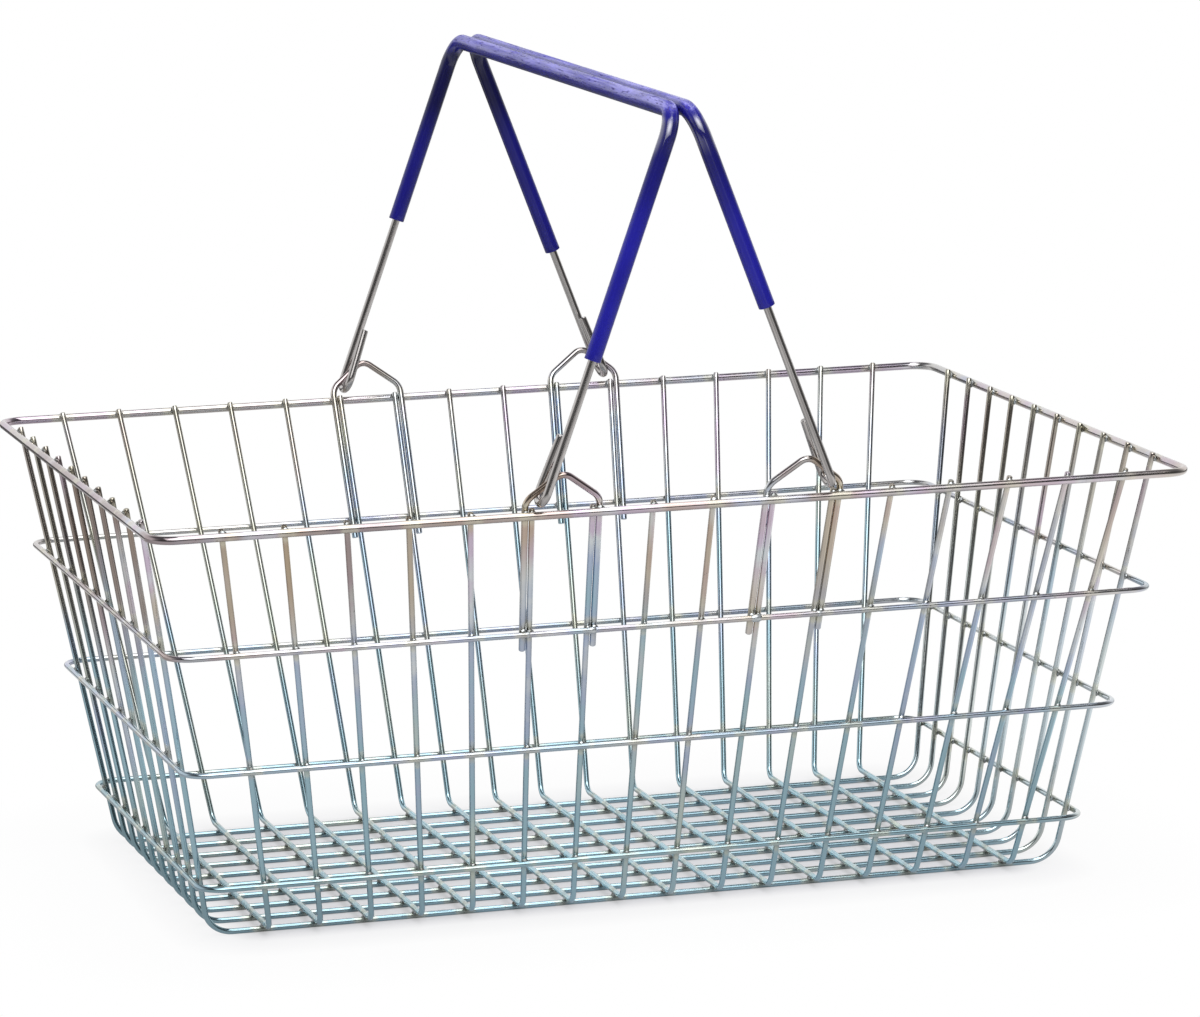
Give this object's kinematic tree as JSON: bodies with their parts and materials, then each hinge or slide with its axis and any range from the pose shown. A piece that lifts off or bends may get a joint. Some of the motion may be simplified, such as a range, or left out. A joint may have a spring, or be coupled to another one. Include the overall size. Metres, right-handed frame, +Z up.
{
  "type": "wire shopping basket",
  "caption": "Rectangular welded-wire shopping basket with sloping walls and hoops, and folding sleeved handles hooked onto arched brackets at the rim, for carrying goods by hand.",
  "frame": {"origin": "on the ground, under the middle of the basket", "axes": "+X along the basket, +Y from front to back along the grips, +Z up"},
  "size_m": [0.5126, 0.393, 0.3981],
  "materials": {
    "zinc_wire": "bright zinc plate with a faint blue and yellow cast",
    "handle_steel": "dull grey drawn steel wire",
    "vinyl_sleeve": "glossy deep blue vinyl tube, scuffed on top"
  },
  "bodies": {
    "basket": {"rim_wire": "zinc_wire", "hoop_upper": "zinc_wire", "hoop_middle": "zinc_wire", "hoop_lower": "zinc_wire", "cross_wire_01": "zinc_wire", "cross_wire_02": "zinc_wire", "cross_wire_03": "zinc_wire", "cross_wire_04": "zinc_wire", "cross_wire_05": "zinc_wire", "cross_wire_06": "zinc_wire", "cross_wire_07": "zinc_wire", "cross_wire_08": "zinc_wire", "cross_wire_09": "zinc_wire", "cross_wire_10": "zinc_wire", "cross_wire_11": "zinc_wire", "cross_wire_12": "zinc_wire", "cross_wire_13": "zinc_wire", "cross_wire_14": "zinc_wire", "cross_wire_15": "zinc_wire", "cross_wire_16": "zinc_wire", "long_wire_01": "zinc_wire", "long_wire_02": "zinc_wire", "long_wire_03": "zinc_wire", "long_wire_04": "zinc_wire", "long_wire_05": "zinc_wire", "long_wire_06": "zinc_wire", "long_wire_07": "zinc_wire", "long_wire_08": "zinc_wire", "long_wire_09": "zinc_wire", "long_wire_10": "zinc_wire", "handle_bracket_front_left": "zinc_wire", "handle_bracket_front_right": "zinc_wire", "handle_bracket_back_left": "zinc_wire", "handle_bracket_back_right": "zinc_wire"},
    "handle_left": {"handle_wire_left": "handle_steel", "grip_sleeve_left": "vinyl_sleeve"},
    "handle_right": {"handle_wire_right": "handle_steel", "grip_sleeve_right": "vinyl_sleeve"}
  },
  "joints": [
    {"name": "left_handle_swing", "type": "hinge", "parent": "basket", "child": "handle_left", "pos_m": [-0.06795, 0, 0.22217], "axis": [0, -1, 0], "range_deg": [0, 112.2]},
    {"name": "right_handle_swing", "type": "hinge", "parent": "basket", "child": "handle_right", "pos_m": [0.06795, 0, 0.22217], "axis": [0, 1, 0], "range_deg": [0, 112.2]}
  ]
}
